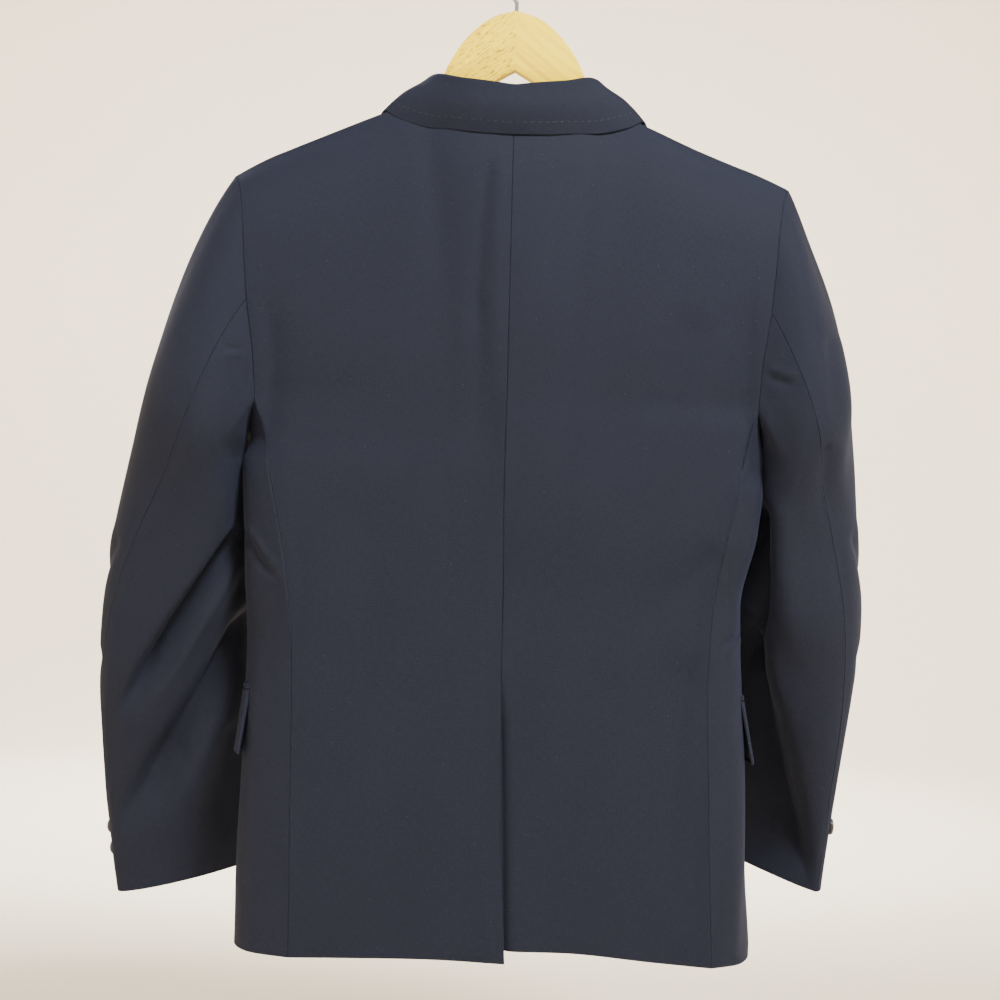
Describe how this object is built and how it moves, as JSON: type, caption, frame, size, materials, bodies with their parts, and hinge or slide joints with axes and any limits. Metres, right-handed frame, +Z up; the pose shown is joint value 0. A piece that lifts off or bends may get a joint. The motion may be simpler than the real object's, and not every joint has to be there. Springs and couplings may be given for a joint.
{
  "type": "blazer and hanger",
  "caption": "Single-breasted navy wool blazer with a centre vent and hip pocket flaps, hanging on a plain wooden hanger with a steel hook.",
  "frame": {"origin": "top of the inside of the hanger's hook, where it hangs on a rail", "axes": "+Z up, -Y out of the front of the blazer, +X to the wearer's left"},
  "size_m": [0.6683, 0.2015, 0.8765],
  "materials": {
    "navy_wool": "fine worsted weave, matt with a faint sheen along folds",
    "dark_button": "half matt",
    "pine": "clear satin varnish",
    "steel_wire": "bright, a little worn"
  },
  "bodies": {
    "root": {"back_left": "navy_wool", "back_right": "navy_wool", "vent_underlap": "navy_wool", "side_left": "navy_wool", "side_right": "navy_wool", "front_left": "navy_wool", "front_right": "navy_wool", "lapel_left": "navy_wool", "lapel_right": "navy_wool", "collar": "navy_wool", "sleeve_top_left": "navy_wool", "sleeve_under_left": "navy_wool", "sleeve_top_right": "navy_wool", "sleeve_under_right": "navy_wool", "pocket_flap_left": "navy_wool", "pocket_flap_right": "navy_wool", "pocket_jetting_left": "navy_wool", "pocket_jetting_right": "navy_wool", "front_button_top": "dark_button", "front_button_lower": "dark_button", "cuff_button_upper_left": "dark_button", "cuff_button_lower_left": "dark_button", "cuff_button_upper_right": "dark_button", "cuff_button_lower_right": "dark_button", "hanger_arm_left": "pine", "hanger_arm_right": "pine", "hanger_hook": "steel_wire"}
  },
  "joints": []
}
